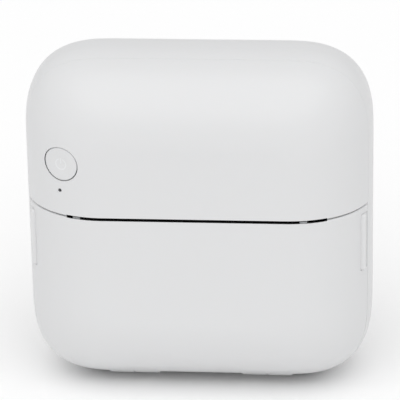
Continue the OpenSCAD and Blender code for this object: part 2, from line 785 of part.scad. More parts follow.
module main_board() color("seagreen") difference() {
    translate([0, board_y + board_t, 0]) rotate([90, 0, 0]) linear_extrude(board_t) polygon([
        [board_left + 4, board_low], [board_right, board_low], [board_right, board_high],
        [board_left + 6, board_high], [board_left, board_high - 6], [board_left, board_low + 4]]);
    for (p = board_screw_at) bar_y(p[0], 0, 4, p[1], 1);
}

module board_parts() color("black") {
    front = board_y - 0.01;
    rear = board_y + board_t;
    // Controller, radio module, motor driver, flex connector, coil and capacitors
    box([-24, front - 1, board_low + 9], [-16, front, board_low + 17]);
    box([-12, front - 2, board_low + 8], [1, front, board_low + 19]);
    box([-26, front - 0.9, board_low + 3], [-21, front, board_low + 7]);
    box([-17, front - 1.2, board_low + 2], [3, front, board_low + 5]);
    box([-33, front - 2, board_low + 7], [-29, front, board_low + 11]);
    for (i = [0:4]) box([-14 + 3 * i, front - 0.6, board_low + 20.4], [-12.6 + 3 * i, front, board_low + 21.2]);
    // Battery connector on the rear
    box([-10, rear, board_high - 3.6], [-4, rear + 3, board_high - 0.6]);
}

module board_screws() color("silver")
    for (p = board_screw_at) screw_y(p[0], board_y, p[1], 1, 1.7, 1, screw_r, 7);

// A flat-sided oval bar along X with round ends
module oval_x(x, r, len) {
    translate([x, usb_y, usb_z]) rotate([90, 0, 90]) union() {
        for (s = [-1, 1]) translate([0, s * usb_shell[0], 0]) cylinder(r = r, h = len);
        translate([-r, -usb_shell[0], 0]) cube([2 * r, 2 * usb_shell[0], len]);
    }
}

module usb_port() color("silver") difference() {
    oval_x(usb_front_x, usb_shell[1], usb_len);
    oval_x(usb_front_x - 0.1, usb_bore_r, usb_len - 1);
}

module battery_cell() color("silver") {
    box([-26, 7, foot_h + 52.3], [0, 14.8, foot_h + 69.5]);
    box([-25, 9.8, foot_h + 69.5 - eps], [-1, 12, foot_h + 70.6]);
}

module battery_lead() color("red") for (x = [-9, -6]) {
    translate([x, 0, 0]) {
        translate([0, 10.9, foot_h + 70.6]) cylinder(r = 0.5, h = 2.4);
        translate([0, 10.9, foot_h + 73]) sphere(r = 0.5);
        bar_y(0, board_y + board_t + 3, 10.9, foot_h + 73, 0.5);
    }
}

rear_shell();
front_shell();
paper_lid();
lid_inner_frame();
lid_frame_screws();
hinge_pins();
rubber_feet();
case_screws();
release_button_left();
release_button_right();
release_spring_left();
release_spring_right();
power_button();
power_switch_plunger();
power_switch();
switch_board();
switch_board_screws();
status_led();
status_light_pipe();
print_chassis();
chassis_screws();
gear_cover();
gear_cover_screws();
gear_pins();
platen_rubber();
platen_shaft();
platen_bushes();
platen_gear();
idler_gear();
reduction_gear();
motor_pinion();
motor_shaft();
drive_motor();
motor_screws();
thermal_head();
head_heatsink();
head_pivot_pin();
head_spring_left();
head_spring_right();
head_flex_cable();
tear_bar();
paper_bin();
paper_roll();
roll_core();
paper_sensor();
main_board();
board_parts();
board_screws();
usb_port();
battery_cell();
battery_lead();
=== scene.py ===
"""Looks of the pocket thermal label printer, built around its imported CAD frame.

The case is drawn again here from the same surface formula as the CAD, fine enough to look moulded.
Lengths are in millimetres up to the point where a mesh is made, and in metres from there on.
"""

import json
import math

import bmesh
import bpy
import numpy as np
from mathutils import Matrix, Vector


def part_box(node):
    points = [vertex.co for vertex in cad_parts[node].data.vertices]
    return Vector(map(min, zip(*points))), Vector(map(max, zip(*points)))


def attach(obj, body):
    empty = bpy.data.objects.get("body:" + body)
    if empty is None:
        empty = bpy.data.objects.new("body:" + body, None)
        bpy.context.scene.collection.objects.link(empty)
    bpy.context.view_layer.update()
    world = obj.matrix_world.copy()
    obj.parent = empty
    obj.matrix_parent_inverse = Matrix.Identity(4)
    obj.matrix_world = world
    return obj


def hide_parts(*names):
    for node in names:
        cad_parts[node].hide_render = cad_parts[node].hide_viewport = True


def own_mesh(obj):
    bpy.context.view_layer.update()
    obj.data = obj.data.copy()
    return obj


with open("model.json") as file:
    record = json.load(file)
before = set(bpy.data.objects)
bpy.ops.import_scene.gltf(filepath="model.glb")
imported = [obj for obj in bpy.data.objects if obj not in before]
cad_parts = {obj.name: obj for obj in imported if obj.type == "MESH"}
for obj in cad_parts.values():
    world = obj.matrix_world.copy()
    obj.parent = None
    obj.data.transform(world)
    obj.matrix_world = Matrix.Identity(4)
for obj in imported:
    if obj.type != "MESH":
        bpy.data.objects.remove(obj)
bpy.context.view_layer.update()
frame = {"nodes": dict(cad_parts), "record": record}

MM = 0.001
# Points closer than this, in metres, become one after a cut
CUT_WELD = 1e-6

# ---------- case dimensions, in millimetres ----------
# They are the CAD's, but for narrower gaps round the power button and the release bars, a narrower seam
# behind the front shell, and release bars that reach 0.35 mm further back
CASE_W, CASE_H, CASE_D = 82.0, 82.0, 40.0
WALL = 2.0
CORNER_R, CORNER_POWER = 21.0, 2.8
ACROSS, BACK = 19.6, 18.8
CORNER_SHRINK = 0.8
FOOT_H = 0.6
MID_Z = FOOT_H + CASE_H / 2
SLOT_Z = FOOT_H + 45.75
LID_GAP = 0.3
SLOT_LEFT, SLOT_RIGHT, SLOT_OPEN = -29.9, 30.9, 0.8
SPLIT_Y = -7.0
# Gap between the front shell and the rear shell at the surface, and between its bosses and the rear's
SHELL_SEAM, BOSS_GAP = 0.03, 0.1
HINGE_Y, HINGE_Z = SPLIT_Y, FOOT_H + 1.9
HINGE_PIN_R, PIN_SLACK, KNUCKLE_R = 0.6, 0.05, 1.3
LID_KNUCKLE, BASE_KNUCKLE = (10.0, 16.0), (16.3, 22.0)
HINGE_RELIEF_X = 30.0
PIN_BORE_X = 20.0
CASE_SCREWS = [(12.0, FOOT_H + 72), (-34.4, FOOT_H + 49)]
CHASSIS_SCREWS = [(-24.0, FOOT_H + 48), (24.0, FOOT_H + 48)]
BOARD_SCREWS = [(-30.0, FOOT_H + 68.5), (4.5, FOOT_H + 59.5)]
LID_SCREWS = [(-18.0, FOOT_H + 33.5), (16.0, FOOT_H + 33.5)]
BOARD_BACK_Y = 2.2
# Bosses, taps and screw wells
REAR_BOSS_R, FRONT_BOSS_R, CHASSIS_BOSS_R, BOARD_BOSS_R, LID_BOSS_R = 2.9, 2.6, 2.2, 2.0, 2.2
CASE_SCREW_R, CASE_SCREW_SLACK, CASE_SCREW_HOLE = 1.0, 0.15, 12.3
SCREW_R, HEAD_WELL_R, TAP_END_Y = 0.9, 2.2, 9.0
CHASSIS_BOSS_Y, LID_BOSS_Y, LID_TAP_Y = 0.2, -15.7, (-17.6, -14.0)
# Rib that carries the tear bar
TEAR_RIB_X, TEAR_RIB_Y, TEAR_RIB_UP = (-28.0, 26.0), -16.8, (1.1, 3.0)
# Nothing of the slot reaches further back than this
SLOT_BACK_Y = -15.0
USB_Y, USB_Z = 3.85, FOOT_H + 61
USB_HALF, USB_R, USB_DEPTH = 3.1, 1.85, 3.0
BUTTON_X, BUTTON_Z = -30.9, FOOT_H + 58.5
BUTTON_R, BUTTON_GAP, BUTTON_SINK = 4.0, 0.16, 0.12
BUTTON_BASE, BUTTON_EAR = -4.3, (1.5, 5.0, 0.7)
DISH_EDGE, DISH_DEPTH = 2.5, 0.22
LED_AT, LED_HOLE_R = (-0.4, -6.5), 0.42
LED_BOSS_R, LED_BOSS_LEN = 1.2, 4.2
# From and to along the button's axis
BUTTON_HOLE, LED_HOLE, SWITCH_TAP = (-7.0, 5.0), (-8.0, 4.0), (-8.0, -4.5)
SWITCH_POSTS = [(-3.9, 3.4), (3.9, -6.6)]
SWITCH_POST_R, SWITCH_SCREW_R, SWITCH_BOARD_BACK = 1.5, 0.6, 7.0
RELEASE_FRONT, RELEASE_BACK = -10.3, -7.25
RELEASE_LOW, RELEASE_H = FOOT_H + 29.8, 14.2
RELEASE_GAP, RELEASE_FACE = 0.06, 39.7
RELEASE_INNER = 35.4
RELEASE_POST = 31.2
RELEASE_SPRING_Y, RELEASE_SPRING_Z = -9.6, FOOT_H + 35
RELEASE_SPRING_R, RELEASE_WIRE_R = 1.1, 0.2
HEAD_SPRING_R, HEAD_WIRE_R = 1.6, 0.22
CATCH_X, HOOK_ARM_X, HOOK_NOSE_X = 36.6, 35.9, 36.3
CATCH_T, CATCH_UP = 1.4, (1.0, 9.0)
HOOK_UP, HOOK_BACK, NOSE_T = (2.0, 8.0), 3.0, 1.3
# The plate behind a release bar: how far it stands out in front, below and above, its depth and play
PLATE_FRONT, PLATE_DOWN, PLATE_UP, PLATE_T, PLATE_PLAY = 1.3, 1.2, -3.0, 4.0, 0.25
FOOT_R, FOOT_SINK = 2.4, 1.2
LIP_T, LIP_EDGE_T = 0.8, 0.25
FAR = 100.0
# Keeps a cutting face from lying exactly on another face
SLIVER = 0.01
# Bars that the lid's lower edge swings through: radius beyond the knuckles' and height of the top
HINGE_RELIEFS = [(0.05, HINGE_Z - SLIVER), (0.7, HINGE_Z - 0.3)]

# Edge rounding of the moulded parts, and how far from an edge its rows of points lie
LID_LIP_R, SHELL_LIP_R = 0.5, 0.3
SPLIT_LIP_R = 0.07
LIP_STEPS = [0, 0.02, 0.06, 0.13, 0.22, 0.35, 0.5, 0.8, 1.2]


# ---------- mesh helpers ----------

def mesh_object(name, points, faces):
    """A mesh object from points in millimetres."""
    mesh = bpy.data.meshes.new(name)
    mesh.from_pydata([tuple(float(c) * MM for c in p) for p in points], [], [tuple(f) for f in faces])
    mesh.update()
    obj = bpy.data.objects.new(name, mesh)
    bpy.context.scene.collection.objects.link(obj)
    return obj


def face_outwards(obj, weld=1e-7):
    """Joins points that lie on each other and turns every face outwards."""
    bm = bmesh.new()
    bm.from_mesh(obj.data)
    bmesh.ops.remove_doubles(bm, verts=bm.verts, dist=weld)
    bmesh.ops.recalc_face_normals(bm, faces=bm.faces)
    bm.to_mesh(obj.data)
    bm.free()
    return obj


def remove(obj):
    mesh = obj.data
    bpy.data.objects.remove(obj)
    bpy.data.meshes.remove(mesh)


def combine(obj, other, how):
    """obj becomes its union, difference or intersection with other, and other goes."""
    step = obj.modifiers.new("cut", "BOOLEAN")
    step.operation = how
    step.solver = "EXACT"
    step.object = other
    apply_modifiers(obj)
    remove(other)
    return face_outwards(obj, CUT_WELD)


def apply_modifiers(obj):
    """Replaces the object's mesh by what its modifiers make of it."""
    bpy.context.view_layer.update()
    evaluated = obj.evaluated_get(bpy.context.evaluated_depsgraph_get())
    fresh = bpy.data.meshes.new_from_object(evaluated)
    obj.modifiers.clear()
    old = obj.data
    obj.data = fresh
    bpy.data.meshes.remove(old)


def block(low, high):
    """A box between two corners, in millimetres."""
    points = [(x, y, z) for x in (low[0], high[0]) for y in (low[1], high[1]) for z in (low[2], high[2])]
    faces = [(0, 1, 3, 2), (4, 6, 7, 5), (0, 4, 5, 1), (2, 3, 7, 6), (0, 2, 6, 4), (1, 5, 7, 3)]
    return face_outwards(mesh_object("block", points, faces))


def lathe(profile, place, sides=64, name="lathe"):
    """A solid of revolution: profile is (radius, height) from the axis out and back to the axis."""
    points, faces, rings = [], [], []
    for r, h in profile:
        if r == 0:
            rings.append([len(points)])
            points.append((0, 0, h))
        else:
            rings.append(list(range(len(points), len(points) + sides)))
            for i in range(sides):
                a = 2 * math.pi * i / sides
                points.append((r * math.cos(a), r * math.sin(a), h))
    for low, high in zip(rings, rings[1:]):
        for i in range(sides):
            j = (i + 1) % sides
            corners = [low[i % len(low)], low[j % len(low)], high[j % len(high)], high[i % len(high)]]
            corners = list(dict.fromkeys(corners))
            if len(corners) > 2:
                faces.append(corners)
    moved = [place @ Vector(p) for p in points]
    return face_outwards(mesh_object(name, moved, faces))


def rod(start, end, r, sides=48):
    """A round bar between two points."""
    a, b = Vector(start), Vector(end)
    turn = (b - a).to_track_quat("Z", "Y").to_matrix().to_4x4()
    place = Matrix.Translation(a) @ turn
    length = (b - a).length
    return lathe([(0, 0), (r, 0), (r, length), (0, length)], place, sides, "rod")


def rod_x(x0, x1, y, z, r):
    return rod((x0, y, z), (x1, y, z), r)


def rod_y(x, y0, y1, z, r):
    return rod((x, y0, z), (x, y1, z), r)


def join(name, objects):
    """One object holding several separate closed pieces."""
    bm = bmesh.new()
    for o in objects:
        bm.from_mesh(o.data)
        remove(o)
    mesh = bpy.data.meshes.new(name)
    bm.to_mesh(mesh)
    bm.free()
    obj = bpy.data.objects.new(name, mesh)
    bpy.context.scene.collection.objects.link(obj)
    return obj


# ---------- the case's surface ----------

def inset_at(phi, inset):
    return inset + (ACROSS - inset) * (1 - math.cos(phi))


def depth_at(phi, inset):
    return CASE_D / 2 - BACK + (BACK - inset) * math.sin(phi)


def phi_at(depth, inset):
    s = (depth - (CASE_D / 2 - BACK)) / (BACK - inset)
    return math.asin(max(0.0, min(1.0, s)))


def section_size(phi, inset):
    """(half width, half height, corner radius) of the case's front outline at one depth."""
    d = inset_at(phi, inset)
    return CASE_W / 2 - d, CASE_H / 2 - d, CORNER_R - inset - CORNER_SHRINK * (d - inset)


def corner_arc(r, steps):
    """Quarter of the rounded corner, from the side up to the top."""
    out = []
    for i in range(steps + 1):
        t = math.pi / 2 * i / steps
        out.append((r * abs(math.cos(t)) ** (2 / CORNER_POWER), r * math.sin(t) ** (2 / CORNER_POWER)))
    return out


CORNER_STEPS, TOP_STEPS, SIDE_STEPS = 22, 10, 8


def arch(phi, inset, seam):
    """Outline points from the seam height on the left, over the top, to the seam on the right."""
    hw, hh, r = section_size(phi, inset)
    end = hh - r
    rise = [seam + s for s in LIP_STEPS]
    rise += [rise[-1] + (end - rise[-1]) * k / SIDE_STEPS for k in range(1, SIDE_STEPS)]
    arc = [(hw - r + x, end + z) for x, z in corner_arc(r, CORNER_STEPS)]
    right = [(hw, z) for z in rise] + arc
    top = [(-(hw - r) * k, hh) for k in np.linspace(-1, 1, TOP_STEPS + 1)[1:-1]]
    left = [(-x, z) for x, z in reversed(right)]
    full = right + top + left
    return [(x, z) for x, z in reversed(full)]


SIDE_ROWS = len(LIP_STEPS) + SIDE_STEPS


def ring(phi, inset):
    """The whole outline, closed."""
    hw, hh, r = section_size(phi, inset)
    arc = [(hw - r + x, hh - r + z) for x, z in corner_arc(r, CORNER_STEPS)]
    quarter = [(hw, (hh - r) * k / 4) for k in range(0, 4)] + arc
    quarter += [((hw - r) * (1 - k / 4), hh) for k in range(1, 4)]
    upper = quarter + [(0.0, hh)] + [(-x, z) for x, z in reversed(quarter)]
    lower = [(x, -z) for x, z in reversed(upper[1:-1])]
    return upper + lower


def lip(s, r):
    """How far an edge rounding of radius r has moved in, at distance s from the edge."""
    if s >= r:
        return 0.0
    return r - math.sqrt(max(0.0, r ** 2 - (r - s) ** 2))


def outward(x, y, z):
    """The outer surface's unit normal near a point given in millimetres."""
    side = -1 if y < 0 else 1
    phi = phi_at(abs(y), 0)

    def level(px, pz, d):
        r = CORNER_R - CORNER_SHRINK * d
        ax = max(0.0, (abs(px) - (CASE_W / 2 - d - r)) / r)
        az = max(0.0, (abs(pz) - (CASE_H / 2 - d - r)) / r)
        return r * ((ax ** CORNER_POWER + az ** CORNER_POWER) ** (1 / CORNER_POWER) - 1)

    zc = z - MID_Z
    d = inset_at(phi, 0)
    h = 0.01
    gx = (level(x + h, zc, d) - level(x - h, zc, d)) / (2 * h)
    gz = (level(x, zc + h, d) - level(x, zc - h, d)) / (2 * h)
    gd = (level(x, zc, d + h) - level(x, zc, d - h)) / (2 * h)
    if abs(y) >= CASE_D / 2 - 1e-4 or (gx == 0 and gz == 0):
        return Vector((0, side, 0))
    n = Vector((gx * math.cos(phi), side * gd * ACROSS / BACK * math.sin(phi), gz * math.cos(phi)))
    return n.normalized()


def face_rows(split, inset):
    """Angles of the rows of a front piece, from its edge at depth split to the flat front."""
    first = phi_at(split, inset)
    near = [phi_at(split + s, inset) for s in LIP_STEPS]
    rest = [near[-1] + (math.pi / 2 - near[-1]) * k / 22 for k in range(1, 23)]
    return [first] + near[1:] + rest


def front_piece(name, split, seam, flip):
    """A closed shell in front of depth split: the arch above the seam, or its mirror image below it."""
    side = -1 if flip else 1
    seam_r = LID_LIP_R if flip else SHELL_LIP_R
    points, faces = [], []

    def add(x, y, z):
        points.append((x, y, MID_Z + side * z))
        return len(points) - 1

    def skin(inset):
        rows = face_rows(split, inset)
        grid = []
        for phi in rows:
            y = -depth_at(phi, inset)
            row = []
            for x, z in arch(phi, inset, seam):
                px, py, pz = x, y, z
                if inset == 0:
                    n = outward(x, y, MID_Z + z)
                    move = lip(-y - split, SPLIT_LIP_R) + lip(z - seam, seam_r)
                    px, py, pz = x - n.x * move, y - n.y * move * (move < seam_r), z - n.z * move
                    py = min(py, -split)
                row.append(add(px, py, pz))
            grid.append(row)
        for a, b in zip(grid, grid[1:]):
            for i in range(len(a) - 1):
                faces.append((a[i], a[i + 1], b[i + 1], b[i]))
        # Flat front between the two sides
        last = grid[-1]
        flat_rows = []
        for k in range(SIDE_ROWS):
            left, right = last[k], last[-1 - k]
            x0, x1 = points[left][0], points[right][0]
            _, y, z = points[left]
            inner = []
            for f in np.linspace(0, 1, 13)[1:-1]:
                points.append((x0 + (x1 - x0) * f, y, z))
                inner.append(len(points) - 1)
            flat_rows.append([left] + inner + [right])
        for a, b in zip(flat_rows, flat_rows[1:]):
            for i in range(len(a) - 1):
                faces.append((a[i], a[i + 1], b[i + 1], b[i]))
        faces.append(flat_rows[-1] + list(reversed(last[SIDE_ROWS:-SIDE_ROWS])))
        seam_path = [r[0] for r in grid] + flat_rows[0][1:-1] + [r[-1] for r in reversed(grid)]
        return grid[0], seam_path

    outer_edge, outer_seam = skin(0)
    inner_edge, inner_seam = skin(WALL)
    for a, b in ((outer_edge, inner_edge), (outer_seam, inner_seam)):
        for i in range(len(a) - 1):
            faces.append((a[i], b[i], b[i + 1], a[i + 1]))
    return face_outwards(mesh_object(name, points, faces))


def rear_rows(split, inset):
    """(depth, angle) of the rear shell's rows, from its front edge to the flat back."""
    start = phi_at(split, inset)
    rows = []
    for s in LIP_STEPS:
        depth = split - s
        rows.append((-depth, phi_at(depth, inset)))
    for k in range(1, 5):
        phi = rows[len(LIP_STEPS) - 1][1] * (1 - k / 4)
        rows.append((-depth_at(phi, inset), phi))
    for k in range(0, 27):
        phi = math.pi / 2 * k / 26
        rows.append((depth_at(phi, inset), phi))
    return rows


def back_piece(name, split):
    """A closed shell behind depth split."""
    points, faces = [], []

    def skin(inset):
        grid = []
        for y, phi in rear_rows(split, inset):
            row = []
            for x, z in ring(phi, inset):
                move = lip(y + split, SPLIT_LIP_R) if inset == 0 else 0.0
                n = outward(x, y, MID_Z + z) if move else Vector((0, 0, 0))
                points.append((x - n.x * move, y, MID_Z + z - n.z * move))
                row.append(len(points) - 1)
            grid.append(row)
        for a, b in zip(grid, grid[1:]):
            for i in range(len(a)):
                j = (i + 1) % len(a)
                faces.append((a[i], a[j], b[j], b[i]))
        faces.append(grid[-1])
        return grid[0]

    outer, inner = skin(0), skin(WALL)
    for i in range(len(outer)):
        j = (i + 1) % len(outer)
        faces.append((outer[i], outer[j], inner[j], inner[i]))
    return face_outwards(mesh_object(name, points, faces))


def case_solid(inset):
    """The whole pebble as one closed solid."""
    points, faces, grid = [], [], []
    rows = [(-depth_at(math.pi / 2 * k / 16, inset), math.pi / 2 * k / 16) for k in range(16, -1, -1)]
    rows += [(depth_at(math.pi / 2 * k / 16, inset), math.pi / 2 * k / 16) for k in range(0, 17)]
    for y, phi in rows:
        row = []
        for x, z in ring(phi, inset):
            points.append((x, y, MID_Z + z))
            row.append(len(points) - 1)
        grid.append(row)
    for a, b in zip(grid, grid[1:]):
        for i in range(len(a)):
            j = (i + 1) % len(a)
            faces.append((a[i], a[j], b[j], b[i]))
    faces += [grid[0], grid[-1]]
    return face_outwards(mesh_object("case_solid", points, faces))


def clipped(solids, inset=WALL / 2):
    """Bosses cut back so that they end inside the case's wall."""
    return combine(join("bosses", solids), case_solid(inset), "INTERSECT")


def shade(obj, sharp_deg=32, follow_case=True):
    """Smooth shading, with the formula's own normals wherever a face lies on the case's outer surface."""
    for p in obj.data.polygons:
        p.use_smooth = True
    obj.data.set_sharp_from_angle(angle=math.radians(sharp_deg))
    if not follow_case:
        return obj
    mesh = obj.data
    current = [Vector(c.vector) for c in mesh.corner_normals]
    cache = {}
    new = []
    for loop, old in zip(mesh.loops, current):
        v = loop.vertex_index
        if v not in cache:
            x, y, z = (c / MM for c in mesh.vertices[v].co)
            cache[v] = outward(x, y, z)
        n = cache[v]
        new.append(n if n.dot(old) > math.cos(math.radians(9)) else old)
    mesh.normals_split_custom_set(new)
    return obj


# ---------- materials ----------

def material(name, colour, rough=0.5, metallic=0.0, grain=900.0, grain_depth=0.02, vary=0.03,
             vary_scale=35.0, rough_vary=0.06, stretch=(1, 1, 1), spec=0.5, coat=0.0, coat_rough=0.2,
             transmission=0.0, sub=0.0):
    """A procedural surface: slow colour drift, a roughness drift and a fine grain in relief."""
    mat = bpy.data.materials.new(name)
    mat.use_nodes = True
    tree = mat.node_tree
    tree.nodes.clear()
    out = tree.nodes.new("ShaderNodeOutputMaterial")
    shader = tree.nodes.new("ShaderNodeBsdfPrincipled")
    tree.links.new(shader.outputs[0], out.inputs[0])
    place = tree.nodes.new("ShaderNodeTexCoord")
    mapping = tree.nodes.new("ShaderNodeMapping")
    mapping.inputs["Scale"].default_value = stretch
    tree.links.new(place.outputs["Object"], mapping.inputs["Vector"])

    slow = tree.nodes.new("ShaderNodeTexNoise")
    slow.inputs["Scale"].default_value = vary_scale
    slow.inputs["Detail"].default_value = 3
    tree.links.new(mapping.outputs[0], slow.inputs["Vector"])
    mix = tree.nodes.new("ShaderNodeMix")
    mix.data_type = "RGBA"
    mix.inputs["A"].default_value = (*[c * (1 - vary) for c in colour], 1)
    mix.inputs["B"].default_value = (*[min(1, c * (1 + vary)) for c in colour], 1)
    tree.links.new(slow.outputs["Fac"], mix.inputs["Factor"])
    tree.links.new(mix.outputs["Result"], shader.inputs["Base Color"])

    fine = tree.nodes.new("ShaderNodeTexNoise")
    fine.inputs["Scale"].default_value = grain
    fine.inputs["Detail"].default_value = 2
    tree.links.new(mapping.outputs[0], fine.inputs["Vector"])
    spread = tree.nodes.new("ShaderNodeMapRange")
    spread.inputs["To Min"].default_value = max(0.02, rough - rough_vary)
    spread.inputs["To Max"].default_value = min(1.0, rough + rough_vary)
    tree.links.new(fine.outputs["Fac"], spread.inputs["Value"])
    tree.links.new(spread.outputs[0], shader.inputs["Roughness"])
    bump = tree.nodes.new("ShaderNodeBump")
    bump.inputs["Strength"].default_value = 0.25
    bump.inputs["Distance"].default_value = grain_depth * MM
    tree.links.new(fine.outputs["Fac"], bump.inputs["Height"])
    tree.links.new(bump.outputs[0], shader.inputs["Normal"])

    shader.inputs["Metallic"].default_value = metallic
    shader.inputs["Specular IOR Level"].default_value = spec
    shader.inputs["Coat Weight"].default_value = coat
    shader.inputs["Coat Roughness"].default_value = coat_rough
    shader.inputs["Transmission Weight"].default_value = transmission
    if sub:
        shader.inputs["Subsurface Weight"].default_value = sub
        shader.inputs["Subsurface Radius"].default_value = (0.0012, 0.0011, 0.001)
        shader.inputs["Subsurface Scale"].default_value = 1.0
    return mat


def blend_pattern(mat, pattern, second, low, high, relief=0.0):
    """Mixes a second colour into a material where a pattern node's value passes from low to high."""
    tree = mat.node_tree
    shader = next(n for n in tree.nodes if n.type == "BSDF_PRINCIPLED")
    base = shader.inputs["Base Color"].links[0].from_socket
    step = tree.nodes.new("ShaderNodeMapRange")
    step.inputs["From Min"].default_value = low
    step.inputs["From Max"].default_value = high
    tree.links.new(pattern, step.inputs["Value"])
    mix = tree.nodes.new("ShaderNodeMix")
    mix.data_type = "RGBA"
    mix.inputs["B"].default_value = (*second, 1)
    tree.links.new(base, mix.inputs["A"])
    tree.links.new(step.outputs[0], mix.inputs["Factor"])
    tree.links.new(mix.outputs["Result"], shader.inputs["Base Color"])
    if relief:
        bump = tree.nodes.new("ShaderNodeBump")
        bump.inputs["Strength"].default_value = 0.6
        bump.inputs["Distance"].default_value = relief * MM
        tree.links.new(step.outputs[0], bump.inputs["Height"])
        tree.links.new(shader.inputs["Normal"].links[0].from_socket, bump.inputs["Normal"])
        tree.links.new(bump.outputs[0], shader.inputs["Normal"])
    return mat


def object_space(mat, rotation=(0, 0, 0), location=(0, 0, 0)):
    """The object's own coordinates, moved or turned."""
    tree = mat.node_tree
    place = tree.nodes.new("ShaderNodeTexCoord")
    mapping = tree.nodes.new("ShaderNodeMapping")
    mapping.inputs["Rotation"].default_value = rotation
    mapping.inputs["Location"].default_value = location
    tree.links.new(place.outputs["Object"], mapping.inputs["Vector"])
    return mapping.outputs[0]


def white_plastic():
    """Fine satin plastic of the case."""
    return material("case_white", (0.706, 0.709, 0.715), rough=0.34, grain=1400, grain_depth=0.012,
                    vary=0.006, vary_scale=20, rough_vary=0.05, spec=0.35, sub=0.08)


def step_value(tree, how, a, b):
    """A math node on two inputs, each a socket or a number; gives its output."""
    node = tree.nodes.new("ShaderNodeMath")
    node.operation = how
    for socket, value in zip(node.inputs, (a, b)):
        if isinstance(value, (int, float)):
            socket.default_value = value
        else:
            tree.links.new(value, socket)
    return node.outputs[0]


def key_material():
    """The case's plastic with a faint power symbol, an open ring with a bar at its top."""
    mat = white_plastic()
    mat.name = "key_white"
    tree = mat.node_tree
    split = tree.nodes.new("ShaderNodeSeparateXYZ")
    centre = (-BUTTON_X * MM, 0, -BUTTON_Z * MM)
    tree.links.new(object_space(mat, location=centre), split.inputs[0])
    across, up = split.outputs["X"], split.outputs["Z"]
    ring_r, line, opening, bar_top = 1.25 * MM, 0.14 * MM, 0.42 * MM, 1.5 * MM
    squared = step_value(tree, "ADD", step_value(tree, "MULTIPLY", across, across),
                         step_value(tree, "MULTIPLY", up, up))
    from_ring = step_value(tree, "ABSOLUTE", step_value(tree, "SUBTRACT",
                                                       step_value(tree, "SQRT", squared, 0), ring_r), 0)
    on_ring = step_value(tree, "LESS_THAN", from_ring, line)
    side = step_value(tree, "ABSOLUTE", across, 0)
    above = step_value(tree, "GREATER_THAN", up, 0.1 * MM)
    in_gap = step_value(tree, "MULTIPLY", step_value(tree, "LESS_THAN", side, opening), above)
    ring = step_value(tree, "MULTIPLY", on_ring, step_value(tree, "SUBTRACT", 1, in_gap))
    bar = step_value(tree, "MULTIPLY", step_value(tree, "LESS_THAN", side, line), above)
    bar = step_value(tree, "MULTIPLY", bar, step_value(tree, "LESS_THAN", up, bar_top))
    symbol = step_value(tree, "MAXIMUM", ring, bar)
    return blend_pattern(mat, symbol, (0.80, 0.81, 0.82), 0.0, 1.6)


def circuit_board_material():
    """Green board with tracks and scattered pads."""
    mat = material("circuit_board", (0.012, 0.10, 0.045), rough=0.28, grain=500, vary=0.1, coat=0.5)
    tracks = mat.node_tree.nodes.new("ShaderNodeTexBrick")
    tracks.inputs["Scale"].default_value = 260
    tracks.inputs["Mortar Size"].default_value = 0.09
    tracks.inputs["Row Height"].default_value = 0.32
    tracks.inputs["Brick Width"].default_value = 1.6
    tracks.offset = 0.37
    turned = object_space(mat, rotation=(math.pi / 2, 0, 0))
    mat.node_tree.links.new(turned, tracks.inputs["Vector"])
    blend_pattern(mat, tracks.outputs["Fac"], (0.03, 0.20, 0.09), 0.3, 0.7, relief=0.03)
    pads = mat.node_tree.nodes.new("ShaderNodeTexVoronoi")
    pads.inputs["Scale"].default_value = 420
    mat.node_tree.links.new(turned, pads.inputs["Vector"])
    return blend_pattern(mat, pads.outputs["Distance"], (0.78, 0.66, 0.36), 0.17, 0.12)


def rolled_paper_material():
    """Paper with its wound edges showing on the roll's two ends."""
    mat = material("paper", (0.86, 0.86, 0.84), rough=0.72, grain=2400, grain_depth=0.02, vary=0.015,
                   spec=0.3)
    tree = mat.node_tree
    low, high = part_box("paper_roll")
    middle = (low + high) / 2
    wraps = tree.nodes.new("ShaderNodeTexWave")
    wraps.wave_type = "RINGS"
    wraps.rings_direction = "X"
    wraps.inputs["Scale"].default_value = 2400
    wraps.inputs["Distortion"].default_value = 1.2
    wraps.inputs["Detail"].default_value = 1
    centre = object_space(mat, location=(-middle.x, -middle.y, -middle.z))
    tree.links.new(centre, wraps.inputs["Vector"])
    return blend_pattern(mat, wraps.outputs["Fac"], (0.70, 0.70, 0.67), 0.55, 1.0)


